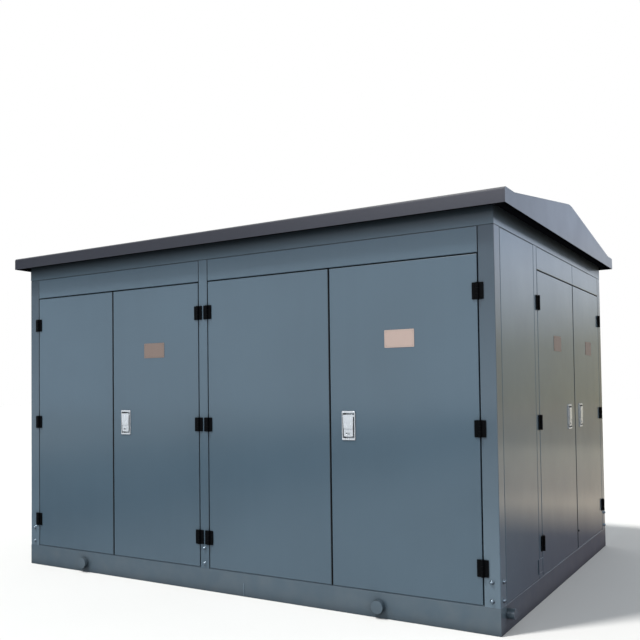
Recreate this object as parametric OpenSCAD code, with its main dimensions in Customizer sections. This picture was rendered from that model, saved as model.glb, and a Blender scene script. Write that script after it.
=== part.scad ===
// Compact outdoor substation: a walk-round sheet-steel enclosure on a channel-steel base,
// with double doors on the long front and on the right end, and a low gable roof.
// Millimetres. The origin is on the ground under the middle. The long front faces -Y, up is +Z.

/* [Body] */
// Length of the body along the front
body_l = 3600; // [3300:50:4200]
// Depth of the body from front to back
body_w = 2530; // [2400:10:3000]
// Height of the channel-steel base
base_h = 140; // [120:5:200]
// Height of the lower edge of the header panels
header_z = 1963; // [1850:1:2100]
// Height of the seam between the header panels and the top rail
rail_z = 2100; // [2095:5:2300]
// Height of the top rail that carries the roof
rail_h = 105; // [90:5:140]
// Thickness of the folded body sheet
sheet = 2; // [1.5:0.5:3]
// Outer radius of the folds in the body sheet
fold_r = 4; // [3.5:0.5:6]
// Depth of the top rail
rail_d = 50; // [40:2:60]

/* [Base] */
// Flange width of the base channels
channel_flange = 58; // [55:1:75]
// Web thickness of the base channels
channel_web = 6; // [5:0.5:8]
// Flange thickness of the base channels
channel_foot = 9.5; // [8:0.5:12]
// Number of cross members under the floor
cross_count = 3; // [2:1:5]
// Thickness of the floor plate
floor_t = 3; // [2:0.5:5]
// Diameter of the lifting pins on the long sides
pin_d = 72; // [60:2:100]
// How far a lifting pin stands out
pin_out = 30; // [20:5:60]
// Height of the lifting pin centres
pin_z = 64; // [55:1:80]
// Distance from the left corner to the first lifting pin
pin_left = 570; // [400:5:800]
// Distance from the right corner to the second lifting pin
pin_right = 695; // [400:5:900]
// Diameter of the round boss on each end rail
boss_d = 56; // [40:2:80]
// How far the end boss stands out
boss_out = 40; // [20:5:60]
// Distance from the corner to the end boss
boss_y = 110; // [100:5:300]
// Height of the end boss
boss_z = 92; // [60:1:100]

/* [Posts] */
// Width of the corner posts seen from the front
corner_w = 88; // [80:2:120]
// Width of the corner posts seen from the end
corner_d = 90; // [80:2:120]
// Wall thickness of the posts
post_t = 3; // [2:0.5:4]
// Width of the middle post on each long side
mid_w = 70; // [66:2:100]
// Depth of the middle and end posts
mid_d = 60; // [50:5:80]
// Place of the front middle post, from the middle of the front
mid_x = -133; // [-250:1:250]
// Width of the narrow post on each end
end_post_w = 65; // [64:1:90]
// Width from the corner to the narrow end post
end_panel_w = 700; // [500:10:800]
// Open seam beside a fixed panel
panel_seam = 3; // [2:0.5:4]
// Depth and height of the shadow groove under the top rail
groove = 3; // [2:0.5:5]

/* [Doors] */
// Depth of a folded door leaf
leaf_d = 40; // [30:2:45]
// Gap round a door leaf
leaf_gap = 6; // [6:0.5:8]
// Gap where the two leaves of a front pair meet
meet_gap = 9; // [9:0.5:12]
// Gap where the two end leaves meet
end_meet_gap = 14; // [9:0.5:16]
// Width of the inward lip on the back of a leaf
leaf_lip = 18; // [12:1:30]
// Distance from the near corner to the meeting line of the end doors
end_meet = 1640; // [1500:2:1700]
// Height of the stiffener on the back of a leaf
stiff_h = 60; // [40:5:80]
// Depth of the stiffener
stiff_d = 24; // [15:1:30]
// Width of the door stop behind the edge of a leaf
stop_w = 22; // [18:1:30]
// Free space between a leaf and the door stop behind it
stop_gap = 6; // [5:0.5:8]
// Thickness of the door stops
stop_t = 3; // [2:0.5:4]

/* [Hinges] */
// Overall width of a hinge
hinge_w = 62; // [58:1:64]
// Height of a hinge
hinge_h = 88; // [70:1:110]
// Diameter of the hinge knuckles
knuckle_d = 16; // [14:0.5:18]
// How far the hinge axis stands off the door face
hinge_off = 9; // [9:0.5:12]
// Thickness of a hinge plate
hinge_t = 5; // [3:0.5:6]
// Height of the lowest hinge
hinge_z_low = 335; // [300:5:450]
// Height of the highest hinge
hinge_z_top = 1762; // [1600:1:1800]
// Diameter of the hinge pin
hinge_pin_d = 6; // [5:0.5:7]

/* [Locks] */
// Width of the lock bezel
lock_w = 86; // [80:1:100]
// Height of the lock bezel
lock_h = 165; // [150:1:190]
// Height of the middle of the locks
lock_z = 1055; // [950:5:1250]
// Distance from a front leaf's free edge to the middle of its lock
lock_inset = 118; // [90:1:160]
// Distance from an end leaf's free edge to the middle of its lock
end_lock_inset = 150; // [90:1:180]
// Depth of the lock tray behind the door skin
lock_d = 24; // [20:1:30]
// Width of the bezel beside the lever
lock_rim = 5; // [4:1:8]
// Width of the bezel above and below the lever
lock_end = 11; // [9:1:14]
// Width of the lever at its top
lever_w = 66; // [58:1:66]
// Width of the lever at its lower end
lever_tip_w = 57; // [50:1:58]
// Length of the lever
lever_h = 123; // [110:1:128]
// Length of the thinner part at the lever's lower end
lever_low = 44; // [35:1:60]
// Width of the oval key recess in the lever
key_w = 26; // [18:1:30]
// Height of the key recess
key_h = 11; // [8:1:14]

/* [Roof] */
// Overhang of the roof at the ends
over_x = 87; // [60:1:120]
// Overhang of the roof at the front and back
over_y = 73; // [50:1:100]
// Height of the lower edge of the fascia
fascia_z = 2187; // [2180:1:2200]
// Height of the fascia
fascia_h = 81; // [60:1:120]
// Width of the flat ledge behind the fascia
ledge_w = 158; // [100:2:250]
// Rise of the slopes from the ledge to the ridge
roof_rise = 172; // [120:2:300]
// Width of the inward lip under the fascia
fascia_lip = 20; // [15:1:30]
// Thickness of the roof sheet
roof_t = 2; // [1.5:0.5:4]
// Depth of the rafters under the sheet
rafter_h = 60; // [40:5:90]
// Thickness of the rafters
rafter_t = 5; // [4:1:8]
// Radius of the rounded ridge
ridge_r = 420; // [100:20:600]
// Radius of the bend at the top of the fascia
eave_r = 16; // [8:1:30]

/* [Hidden] */
$fn = 48;
hx = body_l / 2;
hy = body_w / 2;
rail_top = rail_z + rail_h;
fit = 0.3;
eps = 1;

// rolled channels: slope of the flanges, and radii of the outer edge, toe and root
flange_slope = 1 / 30;
heel_r = 2;
toe_r = 4;
root_r = 9;

// free space between the floor plate and the door stops
floor_gap = 3;

// hinges: corner radius of the plates, and play beside the knuckles
hinge_r = 3;
hinge_play = 1;

// leaf heights
leaf_z = base_h + leaf_gap;
leaf_h = header_z - leaf_gap - leaf_z;

// bays between the posts: low and high ends along the wall, seen from outside
front_bays = [[-hx + corner_w, mid_x - mid_w / 2], [mid_x + mid_w / 2, hx - corner_w]];
end_bay = [-hy + end_panel_w + end_post_w, hy - corner_d];
function mid(b) = (b[0] + b[1]) / 2;

// each leaf: low edge, high edge, side of its hinges (-1 left, 1 right), inset of its lock (0 for none)
function pair(b, meet, gap, locks) = [
    [b[0] + leaf_gap, meet - gap / 2, -1, locks[0]],
    [meet + gap / 2, b[1] - leaf_gap, 1, locks[1]]];
front_leaves = [for (b = front_bays) each pair(b, mid(b), meet_gap, [0, lock_inset])];
end_leaves = pair(end_bay, -hy + end_meet, end_meet_gap, [end_lock_inset, end_lock_inset]);

// hinge axis along the wall, and lock middle along the wall
function axis_x(l) = l[2] < 0 ? l[0] - leaf_gap / 2 : l[1] + leaf_gap / 2;
function lock_x(l) = l[2] < 0 ? l[1] - l[3] : l[0] + l[3];
hinge_zs = [hinge_z_low, (hinge_z_low + hinge_z_top) / 2, hinge_z_top];

// lock tray and lever
tray_wall = 2;
tray_gap = 1;
bezel_t = 5;
bezel_r = 6;
bezel_step = 1.5;
open_r = 3;
lever_r = 5;
open_w = lock_w - 2 * lock_rim;
open_h = lock_h - 2 * lock_end;
lever_pin_d = 5;
lever_eye_d = 13;
lever_y = 2;
lever_top = 61;
lever_pin_z = 52;
lever_front = -9;
lever_step = -6.5;
lever_back = 4;
key_deep = 4;
key_shift = 3.5;
key_r = key_h / 2 - 0.25;

// roof outline points at one side, measured from the ridge line outward
eave_y = hy + over_y;
ledge_y = eave_y - ledge_w;
ledge_z = fascia_z + fascia_h;
slope = atan2(roof_rise, ledge_y);

paint = "#5e7180";
roof_paint = "#4f5160";
black = "#1b1c1f";
chrome = "#c9ccd0";
steel = "#8b8f92";

// The arc that rounds the corner p between a and b with radius r
function unit(v) = v / norm(v);
function corner(a, p, b, r, n = 4) = r <= 0 ? [p] :
    let (u = unit(a - p), v = unit(b - p), half = acos(u * v) / 2, turn = 180 - 2 * half,
         c = p + unit(u + v) * r / sin(half), from = p + u * r / tan(half) - c,
         to = p + v * r / tan(half) - c)
    [for (i = [0:n]) c + (sin(turn * (1 - i / n)) * from + sin(turn * i / n) * to) / sin(turn)];
function rounded(pts, rs) = let (k = len(pts))
    [for (i = [0:k - 1]) each corner(pts[(i + k - 1) % k], pts[i], pts[(i + 1) % k], rs[i])];
function box_line(w, h) = [[0, 0], [w, 0], [w, h], [0, h]];

// Places of the four walls: x runs to the right as seen from outside, outward is -y
module on_front() { translate([0, -hy, 0]) children(); }
module on_back() { rotate(180) on_front() children(); }
module on_right() { translate([hx, 0, 0]) rotate(90) children(); }
module on_left() { rotate(180) on_right() children(); }

// A long profile drawn in (inward, up) that runs along a wall and is mitred at both corners
module mitred(half, depth, h) {
    intersection() {
        translate([-half, 0, 0]) rotate([90, 0, 90]) linear_extrude(2 * half) children();
        translate([0, 0, -eps]) linear_extrude(h + 2 * eps)
            polygon([[-half, 0], [half, 0], [half - depth, depth], [-half + depth, depth]]);
    }
}

// Rolled channel: web outward, tapered flanges with rounded toes
module channel_section() {
    taper = channel_flange * flange_slope;
    toe = channel_foot - taper;
    root = channel_foot + taper;
    polygon(rounded([[0, 0], [channel_flange, 0], [channel_flange, toe], [channel_web, root],
        [channel_web, base_h - root], [channel_flange, base_h - toe], [channel_flange, base_h],
        [0, base_h]], [heel_r, 0, toe_r, root_r, root_r, toe_r, 0, heel_r]));
}

module base_rail_long() { color(paint) mitred(hx, channel_flange, base_h) channel_section(); }
module base_rail_end() { color(paint) mitred(hy, channel_flange, base_h) channel_section(); }

module base_cross_members() {
    span = body_w - 2 * channel_flange;
    pitch = body_l / (cross_count + 1);
    color(steel) for (i = [1:cross_count])
        translate([-hx + i * pitch + channel_flange / 2, -span / 2, 0]) rotate([90, 0, 180])
            linear_extrude(span) channel_section();
}

module post_footprints(extra) {
    for (r = [0, 180]) rotate(r) {
        for (m = [0, 1]) mirror([m, 0, 0])
            translate([-hx - extra, -hy - extra]) square([corner_w + extra, corner_d + extra] + [extra, extra]);
        translate([mid_x - mid_w / 2 - extra, -hy - extra]) square([mid_w, mid_d] + 2 * [extra, extra]);
        translate([hx - mid_d - extra, -hy + end_panel_w - extra])
            square([mid_d, end_post_w] + 2 * [extra, extra]);
    }
}

module floor_plate() {
    inset = leaf_d + stop_gap + stop_t + floor_gap;
    color(steel) translate([0, 0, base_h]) linear_extrude(floor_t) difference() {
        square([body_l, body_w] - 2 * [inset, inset], center = true);
        post_footprints(fit);
    }
}

module lifting_pins() {
    color(paint) for (r = [0, 180]) rotate(r) on_front()
        for (x = [-hx + pin_left, hx - pin_right])
            translate([x, 0, pin_z]) rotate([90, 0, 0]) cylinder(d = pin_d, h = pin_out);
}

module end_bosses() {
    color(paint) for (r = [0, 180]) rotate(r) on_right()
        translate([-hy + boss_y, 0, boss_z]) rotate([90, 0, 0]) cylinder(d = boss_d, h = boss_out);
}

module tube_post(w, d) {
    translate([0, 0, base_h]) linear_extrude(rail_z - base_h) difference() {
        polygon(rounded(box_line(w, d), [for (i = [1:4]) fold_r]));
        translate([post_t, post_t])
            polygon(rounded(box_line(w - 2 * post_t, d - 2 * post_t), [for (i = [1:4]) fold_r - post_t]));
    }
}

module corner_posts() {
    color(paint) for (a = [0, 1], b = [0, 1]) mirror([a, 0, 0]) mirror([0, b, 0])
        translate([-hx, -hy, 0]) tube_post(corner_w, corner_d);
}

module mid_posts() {
    color(paint) for (r = [0, 180]) rotate(r) on_front()
        translate([mid_x - mid_w / 2, 0, 0]) tube_post(mid_w, mid_d);
}

module end_posts() {
    color(paint) for (r = [0, 180]) rotate(r) on_right()
        translate([-hy + end_panel_w, 0, 0]) tube_post(end_post_w, mid_d);
}

// A box whose edges round its front face are folds of radius r
module folded_box(w, d, h, r) {
    intersection() {
        linear_extrude(h) polygon(rounded([[0, d], [0, 0], [w, 0], [w, d]], [0, r, r, 0]));
        rotate([90, 0, 90]) linear_extrude(w)
            polygon(rounded([[d, 0], [0, 0], [0, h], [d, h]], [0, r, r, 0]));
    }
}

// A sheet pan, open towards the inside, with its four sides turned in
module pan(w, d, h) {
    difference() {
        folded_box(w, d, h, fold_r);
        translate([sheet, sheet, sheet]) folded_box(w - 2 * sheet, d, h - 2 * sheet, fold_r - sheet);
    }
}

module end_panels() {
    w = end_panel_w - corner_d - 2 * panel_seam;
    color(paint) for (r = [0, 180]) rotate(r) on_right()
        translate([-hy + corner_d + panel_seam, 0, base_h]) pan(w, leaf_d, rail_z - base_h);
}

module header(a, b) { translate([a, 0, header_z]) pan(b - a, leaf_d, rail_z - header_z); }
module header_long() {
    color(paint) for (b = front_bays) header(b[0] + panel_seam, b[1] - panel_seam);
}
module header_end() {
    meet = -hy + end_meet;
    color(paint) header(end_bay[0] + panel_seam, meet - panel_seam / 2);
    color(paint) header(meet + panel_seam / 2, end_bay[1] - panel_seam);
}

// Folded rail: its face stands proud of its lower flange by the shadow groove
module rail_section() {
    g = groove;
    t = sheet;
    translate([0, rail_z]) polygon([[g, 0], [rail_d, 0], [rail_d, t], [g + t, t], [g + t, g + t],
        [t, g + t], [t, rail_h - t], [rail_d, rail_h - t], [rail_d, rail_h], [0, rail_h], [0, g], [g, g]]);
}

module top_rail_long() { color(paint) mitred(hx, rail_d, rail_top) rail_section(); }
module top_rail_end() { color(paint) mitred(hy, rail_d, rail_top) rail_section(); }

module eaves_soffits() {
    depth = over_y - roof_t + rail_d;
    long = body_l + 2 * (over_x - roof_t);
    color(roof_paint) for (r = [0, 180]) rotate(r) translate([0, 0, rail_top]) {
        translate([-long / 2, -hy - over_y + roof_t, 0]) cube([long, depth, sheet]);
        translate([hx - rail_d, -hy + rail_d + panel_seam, 0])
            cube([over_x - roof_t + rail_d, body_w - 2 * (rail_d + panel_seam), sheet]);
    }
}

// Half of the roof outline, t inside the outer face, from the lower edge of the fascia to the ridge
function eave_half(t) = [[-eave_y + t, fascia_z + t], [-eave_y + t, ledge_z - t],
    [-ledge_y + t * tan(slope / 2), ledge_z - t]];
function other_side(pts) = [for (i = [len(pts) - 1:-1:0]) [-pts[i][0], pts[i][1]]];
function roof_line(t) = let (half = eave_half(t), apex = [[0, ledge_z + roof_rise - t / cos(slope)]])
    rounded(concat(half, apex, other_side(half)),
        [0, eave_r - t, eave_r + t, ridge_r - t, eave_r + t, eave_r - t, 0]);

module along_x(half) { translate([-half, 0, 0]) rotate([90, 0, 90]) linear_extrude(2 * half) children(); }

module roof_sheet() {
    lip_y = eave_y - fascia_lip;
    outer = roof_line(0);
    inner = roof_line(roof_t);
    color(roof_paint) along_x(hx + over_x - roof_t) polygon(concat(
        outer, [[lip_y, fascia_z], [lip_y, fascia_z + roof_t]],
        [for (i = [len(inner) - 1:-1:0]) inner[i]],
        [[-lip_y, fascia_z + roof_t], [-lip_y, fascia_z]]));
}

module gable_plates() {
    x0 = hx + over_x - roof_t;
    color(roof_paint) for (r = [0, 180]) rotate(r) {
        translate([x0, 0, 0]) rotate([90, 0, 90]) linear_extrude(roof_t) polygon(roof_line(0));
        translate([x0 + roof_t - fascia_lip, -eave_y + fascia_lip, fascia_z])
            cube([fascia_lip, 2 * (eave_y - fascia_lip), roof_t]);
    }
}

// Ribs bent to the slope; their feet stand on the soffits over the top rails
module roof_rafters() {
    foot = rail_top + sheet;
    run = hy - rail_d - rafter_h;
    function low(y) = ledge_z - roof_t - rafter_h / cos(slope) + (ledge_y - abs(y)) * tan(slope);
    color(steel) for (i = [-1:1])
        translate([i * body_l / 3 - rafter_t / 2, 0, 0]) rotate([90, 0, 90]) linear_extrude(rafter_t)
            difference() {
                intersection() {
                    translate([-hy, foot]) square([2 * hy, ledge_z + roof_rise - foot]);
                    union() {
                        polygon(roof_line(roof_t));
                        translate([-hy, foot]) square([2 * hy, ledge_z - roof_t - foot]);
                    }
                }
                polygon([[-hy + rail_d, foot - eps], [-run, low(run)], [0, low(0)], [run, low(run)],
                    [hy - rail_d, foot - eps]]);
            }
}

// A door leaf: folded pan with an inward lip, two stiffeners and the lock cut-out
module leaf(l) {
    w = l[1] - l[0];
    color(paint) translate([l[0], 0, leaf_z]) difference() {
        union() {
            pan(w, leaf_d, leaf_h);
            translate([0, leaf_d - sheet, 0]) difference() {
                cube([w, sheet, leaf_h]);
                translate([leaf_lip, -eps, leaf_lip])
                    cube([w - 2 * leaf_lip, sheet + 2 * eps, leaf_h - 2 * leaf_lip]);
            }
            for (k = [1, 2]) translate([sheet, 0, k * leaf_h / 3 - stiff_h / 2]) difference() {
                cube([w - 2 * sheet, stiff_d, stiff_h]);
                translate([-eps, sheet, sheet]) cube([w, stiff_d - 2 * sheet, stiff_h - 2 * sheet]);
            }
        }
        if (l[3] > 0) translate([lock_x(l) - l[0], 0, lock_z - leaf_z]) lock_cutout();
    }
}

module lock_cutout() {
    w = open_w + 2 * (tray_wall + tray_gap);
    h = open_h + 2 * (tray_wall + tray_gap);
    translate([-w / 2, -eps, -h / 2]) cube([w, sheet + 2 * eps, h]);
}

// A frame of flat bar behind the edges of a pair of leaves, which keeps light and rain out
module door_stop(b) {
    color(paint) translate([b[0], leaf_d + stop_gap, base_h]) difference() {
        cube([b[1] - b[0], stop_t, header_z + stop_w - base_h]);
        translate([stop_w, -eps, leaf_gap + stop_w])
            cube([b[1] - b[0] - 2 * stop_w, stop_t + 2 * eps, leaf_h - 2 * stop_w]);
    }
}
module door_stops() {
    on_front() for (b = front_bays) door_stop(b);
    on_back() for (b = front_bays) door_stop(b);
    on_right() door_stop(end_bay);
    on_left() door_stop(end_bay);
}

// A hinge plate between x = a and x = b, with its outer corners rounded
module hinge_plate(a, b) {
    rotate([90, 0, 0]) translate([0, -hinge_h / 2, 0]) linear_extrude(hinge_t)
        polygon(rounded([[a, 0], [b, 0], [b, hinge_h], [a, hinge_h]], [hinge_r, 0, 0, hinge_r]));
}

// The half of a hinge on the frame: plate, upper and lower knuckle, and the pin.
// s is -1 when the frame is on the left of the gap
module frame_half(s) {
    third = hinge_h / 3;
    mirror([s > 0 ? 1 : 0, 0, 0]) {
        hinge_plate(-hinge_w / 2, -knuckle_d / 2 + hinge_play);
        for (z = [-hinge_h / 2, third / 2]) translate([0, 0, z]) {
            translate([0, -hinge_off, 0]) cylinder(d = knuckle_d, h = third);
            translate([-knuckle_d / 2 - hinge_play, -hinge_off, 0])
                cube([knuckle_d / 2 + hinge_play, hinge_t, third]);
        }
        translate([0, -hinge_off, -hinge_h / 2]) cylinder(d = hinge_pin_d, h = hinge_h);
    }
}

// The half of a hinge on the door: plate and middle knuckle, bored for the pin
module door_half(s) {
    third = hinge_h / 3 - 2 * hinge_play;
    mirror([s > 0 ? 1 : 0, 0, 0]) difference() {
        union() {
            mirror([1, 0, 0]) hinge_plate(-hinge_w / 2, -knuckle_d / 2 - hinge_play);
            translate([0, -hinge_off, -third / 2]) cylinder(d = knuckle_d, h = third);
            translate([0, -hinge_off, -third / 2]) cube([knuckle_d / 2 + 2 * hinge_play, hinge_t, third]);
        }
        translate([0, -hinge_off, -hinge_h]) cylinder(d = hinge_pin_d + 2 * fit, h = 2 * hinge_h);
    }
}

module frame_halves(leaves) {
    color(black) for (l = leaves, z = hinge_zs) translate([axis_x(l), 0, z]) frame_half(l[2]);
}

module door_halves(l) {
    color(black) for (z = hinge_zs) translate([axis_x(l), 0, z]) door_half(l[2]);
}

// A plate in the plane of the door, t thick from y = back towards the outside
module face_plate(back, t) { rotate([90, 0, 0]) translate([0, 0, -back]) linear_extrude(t) children(); }
module round_rect(w, h, r) {
    translate([-w / 2, -h / 2]) polygon(rounded(box_line(w, h), [for (i = [1:4]) r]));
}

// Recessed lock case: stepped bezel on the door skin, tray behind it, and the lever's cross pin
module lock_case(l) {
    tray_w = open_w + 2 * tray_wall;
    tray_h = open_h + 2 * tray_wall;
    color(chrome) translate([lock_x(l), 0, lock_z]) {
        difference() {
            union() {
                face_plate(0, bezel_t - bezel_step) round_rect(lock_w, lock_h, bezel_r);
                face_plate(0, bezel_t) round_rect(lock_w - 2 * bezel_step, lock_h - 2 * bezel_step,
                    bezel_r - bezel_step);
                translate([-tray_w / 2, 0, -tray_h / 2]) cube([tray_w, lock_d, tray_h]);
            }
            face_plate(lock_d - tray_wall, lock_d + bezel_t + eps) round_rect(open_w, open_h, open_r);
        }
        translate([-open_w / 2 - eps, lever_y, lever_pin_z]) rotate([0, 90, 0])
            cylinder(d = lever_pin_d, h = open_w + 2 * eps);
    }
}

// Tapered pull-out lever: thick upper part, a step, a thinner lower part with the key recess
module lock_lever(l) {
    low = lever_top - lever_h;
    step_z = low + lever_low;
    key_z = low + key_h * 3 / 2;
    function half_w(z) = (lever_tip_w + (lever_w - lever_tip_w) * (z - low) / lever_h) / 2;
    outline = rounded([[-half_w(low), low], [half_w(low), low], [half_w(lever_top), lever_top],
        [-half_w(lever_top), lever_top]], [for (i = [1:4]) lever_r]);
    color(chrome) translate([lock_x(l), 0, lock_z]) difference() {
        union() {
            face_plate(lever_back, lever_back - lever_step) polygon(outline);
            face_plate(lever_back, lever_back - lever_front) intersection() {
                polygon(outline);
                translate([-lever_w / 2, step_z]) square([lever_w, lever_top - step_z]);
            }
            translate([-open_w / 2 + fit, lever_y, lever_pin_z]) rotate([0, 90, 0])
                cylinder(d = lever_eye_d, h = open_w - 2 * fit);
        }
        translate([-open_w / 2, lever_y, lever_pin_z]) rotate([0, 90, 0])
            cylinder(d = lever_pin_d + 2 * fit, h = open_w);
        face_plate(lever_step + key_deep, key_deep + eps) translate([-key_shift, key_z])
            round_rect(key_w, key_h, key_r);
    }
}

module doors_back() { on_back() for (l = front_leaves) leaf(l); }
module doors_left() { on_left() for (l = end_leaves) leaf(l); }
module hinges_far_sides() {
    on_back() frame_halves(front_leaves);
    on_back() for (l = front_leaves) door_halves(l);
    on_left() frame_halves(end_leaves);
    on_left() for (l = end_leaves) door_halves(l);
}
module locks_far_sides() {
    on_back() for (i = [1, 3]) {
        lock_case(front_leaves[i]);
        lock_lever(front_leaves[i]);
    }
    on_left() for (l = end_leaves) {
        lock_case(l);
        lock_lever(l);
    }
}
module frame_hinges() {
    on_front() frame_halves(front_leaves);
    on_right() frame_halves(end_leaves);
}

on_front() base_rail_long();  // base_rail_front
on_back() base_rail_long();  // base_rail_back
on_right() base_rail_end();  // base_rail_right
on_left() base_rail_end();  // base_rail_left
base_cross_members();
floor_plate();
lifting_pins();
end_bosses();
corner_posts();
mid_posts();
end_posts();
end_panels();
on_front() header_long();  // header_front
on_back() header_long();  // header_back
on_right() header_end();  // header_right
on_left() header_end();  // header_left
on_front() top_rail_long();  // top_rail_front
on_back() top_rail_long();  // top_rail_back
on_right() top_rail_end();  // top_rail_right
on_left() top_rail_end();  // top_rail_left
eaves_soffits();
roof_sheet();
gable_plates();
roof_rafters();
door_stops();
doors_back();
doors_left();
hinges_far_sides();
locks_far_sides();
frame_hinges();
on_front() leaf(front_leaves[0]);  // door_front_1
on_front() leaf(front_leaves[1]);  // door_front_2
on_front() leaf(front_leaves[2]);  // door_front_3
on_front() leaf(front_leaves[3]);  // door_front_4
on_right() leaf(end_leaves[0]);  // door_right_1
on_right() leaf(end_leaves[1]);  // door_right_2
on_front() door_halves(front_leaves[0]);  // door_hinges_front_1
on_front() door_halves(front_leaves[1]);  // door_hinges_front_2
on_front() door_halves(front_leaves[2]);  // door_hinges_front_3
on_front() door_halves(front_leaves[3]);  // door_hinges_front_4
on_right() door_halves(end_leaves[0]);  // door_hinges_right_1
on_right() door_halves(end_leaves[1]);  // door_hinges_right_2
on_front() lock_case(front_leaves[1]);  // lock_case_front_2
on_front() lock_case(front_leaves[3]);  // lock_case_front_4
on_right() lock_case(end_leaves[0]);  // lock_case_right_1
on_right() lock_case(end_leaves[1]);  // lock_case_right_2
on_front() lock_lever(front_leaves[1]);  // lock_lever_front_2
on_front() lock_lever(front_leaves[3]);  // lock_lever_front_4
on_right() lock_lever(end_leaves[0]);  // lock_lever_right_1
on_right() lock_lever(end_leaves[1]);  // lock_lever_right_2
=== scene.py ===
import math

import bmesh
import bpy
from mathutils import Matrix, Vector

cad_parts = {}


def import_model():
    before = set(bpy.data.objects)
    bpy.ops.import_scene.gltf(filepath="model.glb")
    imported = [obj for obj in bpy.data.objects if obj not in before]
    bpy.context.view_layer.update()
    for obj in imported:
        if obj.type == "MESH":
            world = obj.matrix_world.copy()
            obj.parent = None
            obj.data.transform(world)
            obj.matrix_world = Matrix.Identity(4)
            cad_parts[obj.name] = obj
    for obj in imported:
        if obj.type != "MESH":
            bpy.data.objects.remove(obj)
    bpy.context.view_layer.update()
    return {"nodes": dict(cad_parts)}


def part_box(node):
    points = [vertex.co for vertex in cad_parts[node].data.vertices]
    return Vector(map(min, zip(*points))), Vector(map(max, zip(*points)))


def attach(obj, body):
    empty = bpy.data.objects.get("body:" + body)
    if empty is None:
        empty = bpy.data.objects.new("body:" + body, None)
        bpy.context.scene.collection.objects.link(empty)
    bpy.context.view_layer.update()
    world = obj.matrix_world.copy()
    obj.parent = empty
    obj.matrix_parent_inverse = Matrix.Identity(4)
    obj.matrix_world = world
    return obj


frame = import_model()
nodes = frame["nodes"]

# Walls of the body, in metres
HALF_L = 1.800
HALF_W = 1.265
BASE_H = 0.140

# Camera, solved from the edges of the enclosure in the photograph
CAMERA_AT = Vector((3.0913, -5.059, 1.267))
CAMERA_YAW = -0.535
CAMERA_PITCH = 0.0307
CAMERA_ROLL = -0.0137
FOCAL_PX = 769.33
CENTRE_PX = (334.77, 364.69)
IMAGE_PX = 640
SENSOR_MM = 36


def make_camera():
    """A camera at the photograph's place, with its focal length and shift."""
    forward = Vector((math.sin(CAMERA_YAW) * math.cos(CAMERA_PITCH),
                      math.cos(CAMERA_YAW) * math.cos(CAMERA_PITCH),
                      math.sin(CAMERA_PITCH)))
    right = Vector((math.cos(CAMERA_YAW), -math.sin(CAMERA_YAW), 0))
    up = right.cross(forward)
    side = right * math.cos(CAMERA_ROLL) + up * math.sin(CAMERA_ROLL)
    top = -right * math.sin(CAMERA_ROLL) + up * math.cos(CAMERA_ROLL)
    data = bpy.data.cameras.new("camera")
    data.sensor_width = SENSOR_MM
    data.lens = FOCAL_PX / IMAGE_PX * data.sensor_width
    data.shift_x = -(CENTRE_PX[0] - IMAGE_PX / 2) / IMAGE_PX
    data.shift_y = (CENTRE_PX[1] - IMAGE_PX / 2) / IMAGE_PX
    camera = bpy.data.objects.new("camera", data)
    turn = Matrix((side, top, -forward)).transposed()
    camera.matrix_world = Matrix.Translation(CAMERA_AT) @ turn.to_4x4()
    bpy.context.scene.collection.objects.link(camera)
    bpy.context.scene.camera = camera


make_camera()


# Node helpers

# The mix node repeats its sockets' names for each kind of value, so its colour ones go by number
MIX_FACTOR, MIX_A, MIX_B, MIX_RESULT = 0, 6, 7, 2
CORNER_SAMPLES, EDGE_SAMPLES = 4, 6
CORNER_DARK, CORNER_OPEN = 0.15, 0.85
DOWN_FULL, DOWN_NONE = -0.7, -0.5


def srgb(code):
    """A colour written as in a paint list, #rrggbb, as a linear colour."""
    parts = [int(code[i:i + 2], 16) / 255 for i in (1, 3, 5)]
    return tuple(c / 12.92 if c <= 0.04045 else ((c + 0.055) / 1.055) ** 2.4 for c in parts) + (1,)


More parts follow.
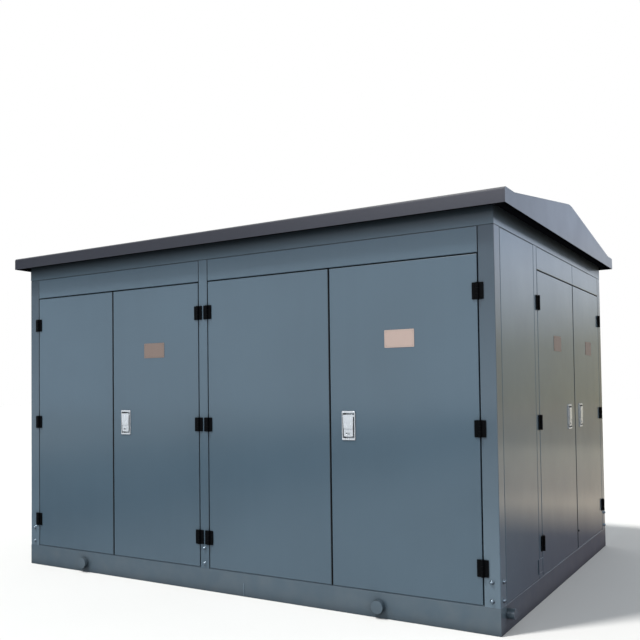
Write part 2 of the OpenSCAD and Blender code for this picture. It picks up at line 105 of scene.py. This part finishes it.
class Nodes:
    """Short calls to make and link the nodes of one material."""

    def __init__(self, name):
        self.material = bpy.data.materials.new(name)
        self.material.use_nodes = True
        self.tree = self.material.node_tree
        self.tree.nodes.clear()
        self.out = self.tree.nodes.new("ShaderNodeOutputMaterial")
        self.coord = self.tree.nodes.new("ShaderNodeTexCoord")

    def new(self, kind, **values):
        """A node of a kind, with its settings."""
        node = self.tree.nodes.new(kind)
        for key, value in values.items():
            setattr(node, key, value)
        return node

    def link(self, source, target):
        """Wires an output to an input."""
        self.tree.links.new(source, target)

    def fill(self, node, **inputs):
        """Sets or wires a node's inputs by name, with _ for a space."""
        for key, value in inputs.items():
            socket = node.inputs[key.replace("_", " ")]
            if isinstance(value, bpy.types.NodeSocket):
                self.link(value, socket)
            else:
                socket.default_value = value
        return node

    def noise(self, scale, detail, stretch=(1, 1, 1)):
        """Cloudy values, finer with a higher scale and drawn out along an axis with a low stretch."""
        mapping = self.new("ShaderNodeMapping")
        self.link(self.coord.outputs["Object"], mapping.inputs["Vector"])
        mapping.inputs["Scale"].default_value = stretch
        node = self.new("ShaderNodeTexNoise")
        self.link(mapping.outputs["Vector"], node.inputs["Vector"])
        node.inputs["Scale"].default_value = scale
        node.inputs["Detail"].default_value = detail
        return node.outputs["Fac"]

    def ramp(self, value, low, high, to_low, to_high):
        """Maps low..high to to_low..to_high, and holds the ends."""
        node = self.new("ShaderNodeMapRange")
        self.link(value, node.inputs["Value"])
        for key, v in (("From Min", low), ("From Max", high), ("To Min", to_low), ("To Max", to_high)):
            node.inputs[key].default_value = v
        return node.outputs["Result"]

    def mix(self, factor, a, b):
        """Colour a at factor 0 and b at factor 1."""
        node = self.new("ShaderNodeMix", data_type="RGBA")
        for index, value in ((MIX_FACTOR, factor), (MIX_A, a), (MIX_B, b)):
            if isinstance(value, bpy.types.NodeSocket):
                self.link(value, node.inputs[index])
            else:
                node.inputs[index].default_value = value
        return node.outputs[MIX_RESULT]

    def times(self, a, b):
        """The product of two values."""
        node = self.new("ShaderNodeMath", operation="MULTIPLY")
        for index, value in ((0, a), (1, b)):
            if isinstance(value, bpy.types.NodeSocket):
                self.link(value, node.inputs[index])
            else:
                node.inputs[index].default_value = value
        return node.outputs[0]

    def height(self):
        """Height above the ground, in metres."""
        node = self.new("ShaderNodeSeparateXYZ")
        self.link(self.coord.outputs["Object"], node.inputs[0])
        return node.outputs["Z"]

    def closeness(self, distance):
        """0 in the open, 1 in corners and gaps narrower than the distance."""
        node = self.new("ShaderNodeAmbientOcclusion", samples=CORNER_SAMPLES)
        node.inputs["Distance"].default_value = distance
        return self.ramp(node.outputs["AO"], CORNER_DARK, CORNER_OPEN, 1.0, 0.0)

    def facing_down(self, down=1.0, other=0.0):
        """One value on faces that look down, another on the rest."""
        node = self.new("ShaderNodeSeparateXYZ")
        self.link(self.coord.outputs["Normal"], node.inputs[0])
        return self.ramp(node.outputs["Z"], DOWN_FULL, DOWN_NONE, down, other)

    def bump(self, height, strength, distance, edge):
        """Fine relief, with sharp edges shaded as if rounded to a radius."""
        node = self.new("ShaderNodeBump")
        node.inputs["Strength"].default_value = strength
        node.inputs["Distance"].default_value = distance
        self.link(height, node.inputs["Height"])
        bevel = self.new("ShaderNodeBevel", samples=EDGE_SAMPLES)
        bevel.inputs["Radius"].default_value = edge
        self.link(bevel.outputs["Normal"], node.inputs["Normal"])
        return node.outputs["Normal"]

    def principled(self, **inputs):
        """Ends the material in a principled surface."""
        node = self.new("ShaderNodeBsdfPrincipled")
        self.fill(node, **inputs)
        self.link(node.outputs["BSDF"], self.out.inputs["Surface"])
        return node


def scaled(colour, factor):
    """A colour made lighter or darker."""
    return tuple(c * factor for c in colour[:3]) + (1,)


# Paint. Heights, reaches and edge radii are in metres; a shade is the share of the colour that is left,
# and the mirror value is the specular level under the coat
DUST = srgb("#8c8a84")
DUST_TOP = 0.55
EAVES_LOW, EAVES_HIGH = 1.7, 2.1
EAVES_REACH, EAVES_SHADE = 0.45, 0.1
CORNER_REACH, CORNER_SHADE = 0.10, 0.15
HEAD_SHARE = 0.85
MIRROR = 0.25
COAT_IOR, COAT_ROUGHNESS = 1.6, 0.12
PEEL_SCALE = 420.0
PAINT_EDGE, PLATE_EDGE, DARK_EDGE = 0.002, 0.0012, 0.001


def coat_paint(name, colour, rough, dust=0.0, coat=1.0, underside=1.0, head=None):
    """Satin powder coat: faint orange peel, soft cloudiness, fine vertical streaks, dust low down.

    It darkens under the eaves and in corners, a painted shade. Faces that look down take the underside's
    share of the colour, a painted shade.
    The head (colour, low, high, share of the coat it keeps) takes over between two heights, a painted shade."""
    m = Nodes(name)
    cloud = m.ramp(m.noise(1.1, 3.0), 0.35, 0.65, 0.0, 1.0)
    streak = m.ramp(m.noise(6.0, 3.0, stretch=(3.0, 3.0, 0.15)), 0.35, 0.7, 0.0, 0.25)
    tone = m.mix(cloud, scaled(colour, 0.95), scaled(colour, 1.05))
    tone = m.mix(streak, tone, scaled(colour, 1.09))
    if dust:
        low = m.ramp(m.height(), 0.0, DUST_TOP, 1.0, 0.0)
        grime = m.times(low, m.ramp(m.noise(9.0, 5.0), 0.35, 0.75, 0.0, dust))
        tone = m.mix(grime, tone, DUST)
    # Painted shade: the head colour takes over between its two heights
    if head:
        head_colour, head_low, head_high, head_coat = head
        above = m.ramp(m.height(), head_low, head_high, 0.0, HEAD_SHARE)
        tone = m.mix(above, tone, head_colour)
    # Painted shade: darker under the eaves and in corners and gaps
    under_eaves = m.times(m.closeness(EAVES_REACH), m.ramp(m.height(), EAVES_LOW, EAVES_HIGH, 0.0, 1.0))
    tone = m.mix(under_eaves, tone, scaled(colour, EAVES_SHADE))
    near = m.closeness(CORNER_REACH)
    tone = m.mix(near, tone, scaled(colour, CORNER_SHADE))
    shine = m.ramp(near, 0.1, 0.6, coat, 0.0)
    if head:
        shine = m.times(shine, m.ramp(above, 0.0, HEAD_SHARE, 1.0, head_coat))
    mirror = MIRROR
    # Painted shade on faces that look down, which also lose their coat and specular shine
    if underside < 1:
        tone = m.mix(m.facing_down(), tone, scaled(colour, underside))
        shine = m.times(shine, m.facing_down(0.0, 1.0))
        mirror = m.facing_down(0.0, mirror)
    peel = m.bump(m.noise(PEEL_SCALE, 2.0), 0.05, 0.0005, PAINT_EDGE)
    gloss = m.ramp(m.noise(3.2, 4.0), 0.3, 0.7, rough - 0.04, rough + 0.05)
    m.principled(Base_Color=tone, Roughness=gloss, Specular_IOR_Level=mirror, Coat_Weight=shine,
                 Coat_IOR=COAT_IOR, Coat_Roughness=COAT_ROUGHNESS, Normal=peel)
    return m.material


def bright_plate(name, tint, rough, metal):
    """Plated or painted metal with fine vertical wear, darkened in its corners and slots by a painted shade.
    """
    m = Nodes(name)
    wear = m.ramp(m.noise(160.0, 4.0, stretch=(1, 1, 0.12)), 0.3, 0.7, rough - 0.03, rough + 0.05)
    cloud = m.mix(m.noise(35.0, 3.0), scaled(tint, 0.95), tint)
    # Painted shade: nearly black in corners and slots
    tone = m.mix(m.closeness(0.02), cloud, scaled(tint, 0.03))
    m.principled(Base_Color=tone, Roughness=wear, Metallic=metal,
                 Normal=m.bump(m.noise(60.0, 2.0), 0.02, 0.0005, PLATE_EDGE))
    return m.material


def dark_paint(name, colour, rough, shine=0.3):
    """Black finish with a slightly mottled sheen, for hinges, rubber and a painted shade on undersides."""
    m = Nodes(name)
    tone = m.mix(m.noise(60.0, 4.0), scaled(colour, 0.8), scaled(colour, 1.3))
    gloss = m.ramp(m.noise(90.0, 3.0), 0.3, 0.7, rough - 0.06, rough + 0.08)
    m.principled(Base_Color=tone, Roughness=gloss, Specular_IOR_Level=shine,
                 Normal=m.bump(m.noise(700.0, 2.0), 0.12, 0.0004, DARK_EDGE))
    return m.material


# The corner posts and top rails darken upwards as in the photograph, where shade and reflections do it
# Painted shade and painted reflection: each head darkens the paint between a low and a high height
POST_PAINTED_SHADE = ((0.024, 0.043, 0.064, 1), 0.3, 1.8, 1.0)
RAIL_PAINTED_SHADE = ((0.004, 0.005, 0.007, 1), 2.10, 2.19, 0.05)

body_paint = coat_paint("body_paint", srgb("#475c6b"), 0.42)
base_paint = coat_paint("base_paint", srgb("#465865"), 0.44, dust=0.12)
# Corner posts: a lighter copy of the body paint with a dark head, a painted reflection low down and a
# painted shade above
post_paint_and_painted_light = coat_paint("post_paint_and_painted_light", srgb("#5a6d7b"), 0.42, head=POST_PAINTED_SHADE)
# Top rails: the body paint turning near black and losing its coat under the eaves, a painted shade
rail_paint_and_painted_shade = coat_paint("rail_paint_and_painted_shade", srgb("#445865"), 0.42, head=RAIL_PAINTED_SHADE)
weld_paint = coat_paint("weld_paint", srgb("#5c6f7e"), 0.44)
bolt_plate = bright_plate("bolt_plate", srgb("#8594a0"), 0.24, 0.85)
# Faces of the roof that look down keep only 6% of its colour, a painted shade
roof_paint = coat_paint("roof_paint", srgb("#30323b"), 0.40, coat=0.66, underside=0.06)
# Soffits near black: a painted shade
soffit_painted_shade = dark_paint("soffit_painted_shade", srgb("#0c0d10"), 0.7, shine=0.0)
hinge_black = dark_paint("hinge_black", srgb("#050608"), 0.5, shine=0.06)
rubber = dark_paint("rubber", srgb("#0a0b0c"), 0.7)
lock_chrome = bright_plate("lock_chrome", (0.80, 0.83, 0.86, 1), 0.24, 0.5)
# Sign plates: flat pale and tan colours, a painted reflection of their surroundings
sign_pale_painted_reflection = bright_plate("sign_pale_painted_reflection", srgb("#b9a49b"), 0.5, 0.0)
sign_tan_painted_reflection = bright_plate("sign_tan_painted_reflection", srgb("#83726a"), 0.5, 0.0)
inner_steel = coat_paint("inner_steel", srgb("#83888b"), 0.5)


def dress(material, *names):
    """Gives CAD nodes a material."""
    for name in names:
        mesh = nodes[name].data
        mesh.materials.clear()
        mesh.materials.append(material)


dress(post_paint_and_painted_light, "corner_posts")
dress(rail_paint_and_painted_shade, "top_rail_front", "top_rail_back", "top_rail_right", "top_rail_left")
dress(body_paint, "mid_posts", "end_posts", "end_panels",
      "header_front", "header_back", "header_right", "header_left",
      "doors_back", "doors_left")
dress(body_paint, *[n for n in nodes if n.startswith(("door_front", "door_right"))])
dress(base_paint, "base_rail_front", "base_rail_back", "base_rail_right", "base_rail_left",
      "lifting_pins", "end_bosses")
dress(roof_paint, "roof_sheet", "gable_plates")
dress(soffit_painted_shade, "eaves_soffits")
dress(inner_steel, "floor_plate", "base_cross_members", "roof_rafters")
dress(hinge_black, *[n for n in nodes if "hinges" in n])
dress(lock_chrome, *[n for n in nodes if n.startswith("lock")])


# Small pieces, in metres: turned forms and plates are drawn with Z pointing out of their wall

CORNER_STEPS = 5
BOLT_SIDES, BUFFER_SIDES, SCREW_SIDES = 24, 20, 12


def piece(name, bm, material, body):
    """Makes a new piece of a mesh already in its place, riding on a body."""
    bmesh.ops.recalc_face_normals(bm, faces=bm.faces)
    mesh = bpy.data.meshes.new(name)
    bm.to_mesh(mesh)
    bm.free()
    mesh.materials.append(material)
    made = bpy.data.objects.new(name, mesh)
    bpy.context.scene.collection.objects.link(made)
    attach(made, body)


def skin(bm, rings, smooth=False):
    """Joins equal rings of points with faces, and caps the two ends."""
    loops = [[bm.verts.new(p) for p in ring] for ring in rings]
    for low, high in zip(loops, loops[1:]):
        for i in range(len(low)):
            j = (i + 1) % len(low)
            bm.faces.new((low[i], low[j], high[j], high[i])).smooth = smooth
    bm.faces.new(loops[0])
    bm.faces.new(loops[-1])


def lathe(bm, profile, sides, place):
    """A turned form: (radius, height) points spun about the local Z axis."""
    turns = [2 * math.pi * i / sides for i in range(sides)]
    rings = [[place @ Vector((r * math.cos(a), r * math.sin(a), z)) for a in turns] for r, z in profile]
    skin(bm, rings, smooth=True)


def rounded_rect(width, height, radius):
    """Points of a rectangle with round corners, round its middle."""
    points = []
    for quarter in range(4):
        sx, sy = ((1, 1), (-1, 1), (-1, -1), (1, -1))[quarter]
        for i in range(CORNER_STEPS + 1):
            a = (quarter + i / CORNER_STEPS) * math.pi / 2
            points.append((sx * (width / 2 - radius) + radius * math.cos(a),
                           sy * (height / 2 - radius) + radius * math.sin(a)))
    return points


def stepped_plate(bm, width, height, radius, steps, place):
    """A plate built of (inset, height) steps from its back to the middle of its face."""
    skin(bm, [[place @ Vector((x, y, z)) for x, y in rounded_rect(width - 2 * d, height - 2 * d, radius)]
              for d, z in steps])


# Places on the walls: x to the right seen from outside, y outward from the wall, z up
FRONT = Matrix.Translation((0, -HALF_W, 0)) @ Matrix(((1, 0, 0), (0, -1, 0), (0, 0, 1))).to_4x4()
TURN = Matrix.Rotation(math.pi, 4, "Z")
RIGHT = Matrix.Translation((HALF_L, 0, 0)) @ Matrix(((0, 1, 0), (1, 0, 0), (0, 0, 1))).to_4x4()
OUTWARD = Matrix(((1, 0, 0), (0, 0, 1), (0, -1, 0))).to_4x4()


def on_wall(wall, x, z):
    """Turns a form's Z axis to point out of the wall at (x, z)."""
    return wall @ Matrix.Translation((x, 0, z)) @ OUTWARD


# Gap round each pair of leaves, and the wall and hinge side of each leaf
GAP = 0.006
LEAVES = {"front_1": (FRONT, -1), "front_2": (FRONT, 1), "front_3": (FRONT, -1), "front_4": (FRONT, 1),
          "right_1": (RIGHT, -1), "right_2": (RIGHT, 1)}


def leaf_span(name):
    """Low and high edge of a leaf along its wall."""
    low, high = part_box("door_" + name)
    return (low.x, high.x) if LEAVES[name][0] is FRONT else (low.y, high.y)


def door_bays():
    """(wall, low end, high end) of each pair of doors, on all four sides."""
    bays = []
    for wall, first, second in ((FRONT, "front_1", "front_2"), (FRONT, "front_3", "front_4"),
                                (RIGHT, "right_1", "right_2")):
        low, high = leaf_span(first)[0] - GAP, leaf_span(second)[1] + GAP
        bays += [(wall, low, high), (TURN @ wall, low, high)]
    return bays


BOLT_PROFILE = [(0.0125, 0), (0.0125, 0.0016), (0.0102, 0.0022), (0.0099, 0.0045), (0.0090, 0.0080),
                (0.0070, 0.0108), (0.0040, 0.0124), (0.0008, 0.0130)]
BOLT_ZS = (0.172, 0.268)
BOLT_IN = 0.045
# Middle of the mid post between the second and third front leaf
MID_POST_X = -0.133


def bolts():
    """Domed bolts at the feet of the posts."""
    long_xs = (-HALF_L + BOLT_IN, MID_POST_X, HALF_L - BOLT_IN)
    end_xs = (-HALF_W + BOLT_IN, HALF_W - BOLT_IN)
    bm = bmesh.new()
    for wall, xs in ((FRONT, long_xs), (TURN @ FRONT, long_xs), (RIGHT, end_xs), (TURN @ RIGHT, end_xs)):
        for x in xs:
            for z in BOLT_ZS:
                lathe(bm, BOLT_PROFILE, BOLT_SIDES, on_wall(wall, x, z))
    piece("post_bolts", bm, bolt_plate, "enclosure")


HINGE_ZS = (0.335, 1.0485, 1.762)
SCREW_PROFILE = [(0.0048, 0.0048), (0.0048, 0.0054), (0.0042, 0.0060), (0.0016, 0.0061),
                 (0.0012, 0.0052), (0.0004, 0.0051)]
SCREW_OUT, SCREW_UP = 0.019, 0.030


def hinge_screws():
    """Two screw heads on each hinge plate: one piece for the frame, one for each leaf that opens."""
    def screws(bm, wall, x):
        """The screws of one plate at each hinge height."""
        for z in HINGE_ZS:
            for dz in (-SCREW_UP, SCREW_UP):
                lathe(bm, SCREW_PROFILE, SCREW_SIDES, on_wall(wall, x, z + dz))

    fixed = bmesh.new()
    for name, (wall, side) in LEAVES.items():
        low, high = leaf_span(name)
        axis = low - GAP / 2 if side < 0 else high + GAP / 2
        screws(fixed, wall, axis + side * SCREW_OUT)
        for x in (axis - SCREW_OUT, axis + SCREW_OUT):
            screws(fixed, TURN @ wall, x)
        moving = bmesh.new()
        screws(moving, wall, axis - side * SCREW_OUT)
        piece("hinge_screws_" + name, moving, hinge_black, "leaf_" + name)
    piece("hinge_screws_frame", fixed, hinge_black, "enclosure")


SIGN_Z = 1.535
SIGN_W, SIGN_H, SIGN_CORNER = 0.180, 0.098, 0.004
SIGN_STEPS = [(0, 0), (0, 0.0010), (0.0004, 0.0013), (0.0060, 0.0013), (0.0064, 0.0009),
              (0.0074, 0.0009), (0.0078, 0.0013)]
SIGN_XS = {"front_2": -0.555, "front_4": 1.254, "right_1": -HALF_W + 1.209, "right_2": -HALF_W + 2.080}
RIVET_PROFILE = [(0.0028, 0.0012), (0.0028, 0.0018), (0.0020, 0.0026), (0.0006, 0.0029)]
RIVET_IN = 0.011


def sign_plates():
    """Bare plates with an engraved border line and a rivet in each corner, their colours a painted
    reflection.
    """
    for name, x in SIGN_XS.items():
        wall = LEAVES[name][0]
        bm = bmesh.new()
        stepped_plate(bm, SIGN_W, SIGN_H, SIGN_CORNER, SIGN_STEPS, on_wall(wall, x, SIGN_Z))
        for sx in (-1, 1):
            for sz in (-1, 1):
                rivet_x = x + sx * (SIGN_W / 2 - RIVET_IN)
                rivet_z = SIGN_Z + sz * (SIGN_H / 2 - RIVET_IN)
                lathe(bm, RIVET_PROFILE, SCREW_SIDES, on_wall(wall, rivet_x, rivet_z))
        piece("sign_plate_" + name, bm, sign_pale_painted_reflection if name == "front_4" else sign_tan_painted_reflection, "leaf_" + name)


SEAL_PROFILE = [(0.001, -0.046), (0.001, -0.043), (0.003, -0.0415), (0.009, -0.0415), (0.011, -0.043),
                (0.011, -0.046)]
HEADER_Z = 1.963


def door_seals():
    """Rubber seals on the door stops, up, across and down each opening: (inset, outward) profile points."""
    bm = bmesh.new()
    for wall, low, high in door_bays():
        corners = [(low, BASE_H, 1, 0), (low, HEADER_Z, 1, -1),
                   (high, HEADER_Z, -1, -1), (high, BASE_H, -1, 0)]
        skin(bm, [[wall @ Vector((x + sx * d, out, z + sz * d)) for d, out in SEAL_PROFILE]
                  for x, z, sx, sz in corners])
    piece("door_seals", bm, rubber, "enclosure")


EDGE_SEAL_PROFILE = [(0.0, -0.036), (0.0, -0.002), (0.001, 0.0012), (0.0028, 0.0018), (0.0046, 0.0012),
                     (0.0055, -0.002), (0.0055, -0.036)]
LEAF_LOW, LEAF_HIGH = 0.1465, 1.9565


def edge_seals():
    """A rubber strip on the meeting edge of the first leaf of each pair, back and left ones included."""
    def strip(bm, wall, x):
        """One strip of (along, outward) profile points, as high as the leaf."""
        skin(bm, [[wall @ Vector((x + d, out, z)) for d, out in EDGE_SEAL_PROFILE]
                  for z in (LEAF_LOW, LEAF_HIGH)])

    fixed = bmesh.new()
    for name in ("front_1", "front_3", "right_1"):
        edge = leaf_span(name)[1]
        wall = LEAVES[name][0]
        moving = bmesh.new()
        strip(moving, wall, edge)
        piece("edge_seal_" + name, moving, rubber, "leaf_" + name)
        strip(fixed, TURN @ wall, edge)
    piece("edge_seals_fixed", fixed, rubber, "enclosure")


SILL_PROFILE = [(-0.036, 0.0002), (-0.036, 0.0048), (-0.0036, 0.0048),
                (-0.0028, 0.0040), (-0.0028, 0.0002)]
SILL_PLAY = 0.001


def sills():
    """A flat bar along the foot of each door opening: (outward, up) profile points."""
    bm = bmesh.new()
    for wall, low, high in door_bays():
        skin(bm, [[wall @ Vector((x, out, BASE_H + up)) for out, up in SILL_PROFILE]
                  for x in (low + SILL_PLAY, high - SILL_PLAY)])
    piece("door_sills", bm, body_paint, "enclosure")


WELD_X, WELD_LOW, WELD_TOP = 0.174, 0.002, 0.082
WELD_HALF_W, WELD_OUT = 0.0045, 0.0022
WELD_RINGS, WELD_ARC_STEPS = 28, 8
RIPPLE, RIPPLE_TURN = 0.18, 2.1


def base_welds():
    """A rippled weld bead at the joint in each long base rail."""
    arc = [math.pi * k / WELD_ARC_STEPS for k in range(WELD_ARC_STEPS + 1)]
    bm = bmesh.new()
    for wall in (FRONT, TURN @ FRONT):
        rings = []
        for i in range(WELD_RINGS + 1):
            z = WELD_LOW + (WELD_TOP - WELD_LOW) * i / WELD_RINGS
            wave = 1 + RIPPLE * math.sin(i * RIPPLE_TURN)
            half, out = WELD_HALF_W * wave, WELD_OUT * wave
            rings.append([wall @ Vector((WELD_X + math.cos(a) * half, math.sin(a) * out, z)) for a in arc])
        skin(bm, rings, smooth=True)
    piece("base_welds", bm, weld_paint, "enclosure")


FOOT_PLATE_X, FOOT_PLATE_Z = -HALF_W + 0.716, 0.212
FOOT_PLATE_SIZE, FOOT_PLATE_CORNER = 0.086, 0.003
FOOT_PLATE_STEPS = [(0, 0), (0, 0.0030), (0.0008, 0.0040), (0.0060, 0.0040), (0.0068, 0.0025)]


def foot_plates():
    """Small cover plate at the foot of each narrow end post."""
    bm = bmesh.new()
    for wall in (RIGHT, TURN @ RIGHT):
        stepped_plate(bm, FOOT_PLATE_SIZE, FOOT_PLATE_SIZE, FOOT_PLATE_CORNER, FOOT_PLATE_STEPS,
                      on_wall(wall, FOOT_PLATE_X, FOOT_PLATE_Z))
    piece("foot_plates", bm, body_paint, "enclosure")


BUFFER_PROFILE = [(0.0070, 0), (0.0070, 0.0030), (0.0055, 0.0050), (0.0008, 0.0055)]
BUFFER_IN, BUFFER_Z = 0.012, 0.262


def leaf_buffer():
    """Dark rubber button low on the second end leaf, beside the meeting line."""
    bm = bmesh.new()
    x = leaf_span("right_2")[0] + BUFFER_IN
    lathe(bm, BUFFER_PROFILE, BUFFER_SIDES, on_wall(RIGHT, x, BUFFER_Z))
    piece("leaf_buffer_right_2", bm, rubber, "leaf_right_2")


bolts()
hinge_screws()
sign_plates()
door_seals()
edge_seals()
sills()
base_welds()
foot_plates()
leaf_buffer()


# Floor, lights and background

def stage_mesh(name, corners, material):
    """A flat stage piece through four corners."""
    mesh = bpy.data.meshes.new(name)
    mesh.from_pydata(corners, [], [tuple(range(len(corners)))])
    mesh.materials.append(material)
    made = bpy.data.objects.new(name, mesh)
    bpy.context.scene.collection.objects.link(made)
    return made


FLOOR_HALF = 60
FLOOR_TONES = (0.80, 0.80, 0.79, 1), (0.83, 0.83, 0.82, 1)


def floor():
    """Plain pale ground."""
    m = Nodes("floor")
    tone = m.mix(m.noise(0.8, 3.0), *FLOOR_TONES)
    m.principled(Base_Color=tone, Roughness=0.9)
    a = FLOOR_HALF
    stage_mesh("floor", [(-a, -a, 0), (a, -a, 0), (a, a, 0), (-a, a, 0)], m.material)


def glow_bands(name, along, bands):
    """Emission whose colour follows (place, colour) bands along a direction over the card."""
    m = Nodes(name)
    dot = m.new("ShaderNodeVectorMath")
    dot.operation = "DOT_PRODUCT"
    m.link(m.coord.outputs["Object"], dot.inputs[0])
    dot.inputs[1].default_value = along
    place = dot.outputs["Value"]
    tone = bands[0][1]
    for (low, _), (high, colour) in zip(bands, bands[1:]):
        tone = m.mix(m.ramp(place, low, high, 0.0, 1.0), tone, colour)
    glow = m.new("ShaderNodeEmission")
    m.fill(glow, Color=tone)
    m.link(glow.outputs[0], m.out.inputs["Surface"])
    return m.material


# What the glossy paint mirrors: (place, linear colour) bands, tuned for the photograph's view. A
# place is the dot product of a point, in metres, with the card's direction.
# Beside the right end, from the front to the back: pale, then shaded along the body, sunlit beyond it and
# dimmer far away; up the sky card, along Z: dim horizon, pale sky
END_GROUND = [(-14.0, (0.50, 0.52, 0.54, 1)), (-1.0, (0.12, 0.10, 0.12, 1)),
              (2.2, (0.12, 0.10, 0.12, 1)), (4.1, (0.81, 0.70, 0.56, 1)),
              (5.5, (0.60, 0.52, 0.42, 1)), (11.0, (0.61, 0.56, 0.44, 1)),
              (14.0, (0.38, 0.34, 0.26, 1)), (34.0, (0.42, 0.36, 0.24, 1))]
END_GROUND_ALONG = (0.3, 1, 0)
END_SKY = [(0.0, (0.38, 0.34, 0.21, 1)), (4.2, (0.42, 0.40, 0.30, 1)), (7.5, (0.76, 0.81, 0.86, 1)),
           (9.8, (0.88, 0.96, 1.10, 1)), (12.5, (0.80, 0.93, 1.16, 1))]
# Before the front, along X: pale far to the left, dark beyond the body's left end, brighter to the right.
# Upright cards stand beyond it, one above the other: the walls mirror the first, the strip under the eaves
# the second, and the roof's edge the third
FRONT_GROUND = [(-14.0, (0.50, 0.53, 0.55, 1)), (-6.5, (0.06, 0.08, 0.10, 1)),
                (-3.6, (0.0, 0.0, 0.02, 1)), (-0.6, (0.42, 0.46, 0.50, 1)), (3.0, (0.56, 0.60, 0.62, 1))]
FRONT_SKY = [(-40.0, (0.62, 0.76, 0.92, 1)), (-20.0, (0.84, 0.95, 1.06, 1))]
FRONT_EAVES = [(-40.0, (0.01, 0.01, 0.02, 1)), (-6.0, (0.16, 0.17, 0.24, 1))]
FRONT_HIGH_SKY = [(-40.0, (0.02, 0.02, 0.03, 1)), (-23.0, (0.50, 0.51, 0.55, 1)),
                  (-6.0, (1.95, 1.97, 2.15, 1))]
FAR, NEAR_Y = 50.0, -30.0
CARD_UP = 0.002
ALONG_X, ALONG_Z = (1, 0, 0), (0, 0, 1)
CARD_TOP, EAVES_FROM, HIGH_FROM = 40.0, 8.0, 9.25


def card(name, corners, along, bands):
    """A stage card that only reflections see."""
    made = stage_mesh(name, corners, glow_bands(name, along, bands))
    made.visible_camera = False
    made.visible_diffuse = False
    made.visible_shadow = False
    made.visible_transmission = False


def ground_corners(x0, x1, y0, y1):
    """Corners of a card that lies just over the floor."""
    return [(x0, y0, CARD_UP), (x1, y0, CARD_UP), (x1, y1, CARD_UP), (x0, y1, CARD_UP)]


def upright_corners(x0, x1, y, z0, z1):
    """Corners of a card that stands across the Y axis."""
    return [(x0, y, z0), (x1, y, z0), (x1, y, z1), (x0, y, z1)]


def reflection_cards():
    """The surroundings that the coat mirrors, beside the right end and before the front."""
    a = FLOOR_HALF
    card("end_ground_card", ground_corners(HALF_L, a, NEAR_Y, FAR), END_GROUND_ALONG, END_GROUND)
    card("end_sky_card", upright_corners(HALF_L, a, FAR, 0, CARD_TOP), ALONG_Z, END_SKY)
    card("front_ground_card", ground_corners(-a, HALF_L, NEAR_Y, -HALF_W), ALONG_X, FRONT_GROUND)
    card("front_sky_card", upright_corners(-a, a, NEAR_Y, 0, EAVES_FROM), ALONG_X, FRONT_SKY)
    card("front_eaves_card", upright_corners(-a, a, NEAR_Y, EAVES_FROM, HIGH_FROM), ALONG_X, FRONT_EAVES)
    card("front_high_card", upright_corners(-a, a, NEAR_Y, HIGH_FROM, CARD_TOP), ALONG_X, FRONT_HIGH_SKY)


WORLD_TINT, WORLD_STRENGTH = (0.93, 0.97, 1.0, 1), 0.62


def world():
    """Soft even light from all round, with a white background for the camera."""
    w = bpy.data.worlds.new("studio")
    bpy.context.scene.world = w
    w.use_nodes = True
    tree = w.node_tree
    tree.nodes.clear()
    out = tree.nodes.new("ShaderNodeOutputWorld")
    light = tree.nodes.new("ShaderNodeBackground")
    light.inputs["Color"].default_value = WORLD_TINT
    light.inputs["Strength"].default_value = WORLD_STRENGTH
    white = tree.nodes.new("ShaderNodeBackground")
    white.inputs["Color"].default_value = (1, 1, 1, 1)
    path = tree.nodes.new("ShaderNodeLightPath")
    mix = tree.nodes.new("ShaderNodeMixShader")
    tree.links.new(path.outputs["Is Camera Ray"], mix.inputs["Fac"])
    tree.links.new(light.outputs[0], mix.inputs[1])
    tree.links.new(white.outputs[0], mix.inputs[2])
    tree.links.new(mix.outputs[0], out.inputs["Surface"])


SUN_TO = Vector((-0.30, -0.36, 0.92))
SUN_ENERGY, SUN_SPREAD, SUN_TINT = 2.6, math.radians(6), (1.0, 0.98, 0.95)


def sun():
    """The key light, from above the front left."""
    data = bpy.data.lights.new("key", "SUN")
    data.energy = SUN_ENERGY
    data.angle = SUN_SPREAD
    data.color = SUN_TINT
    lamp = bpy.data.objects.new("key", data)
    lamp.rotation_euler = SUN_TO.to_track_quat("Z", "Y").to_euler()
    bpy.context.scene.collection.objects.link(lamp)


floor()
reflection_cards()
world()
sun()
bpy.context.scene.view_settings.view_transform = "Standard"
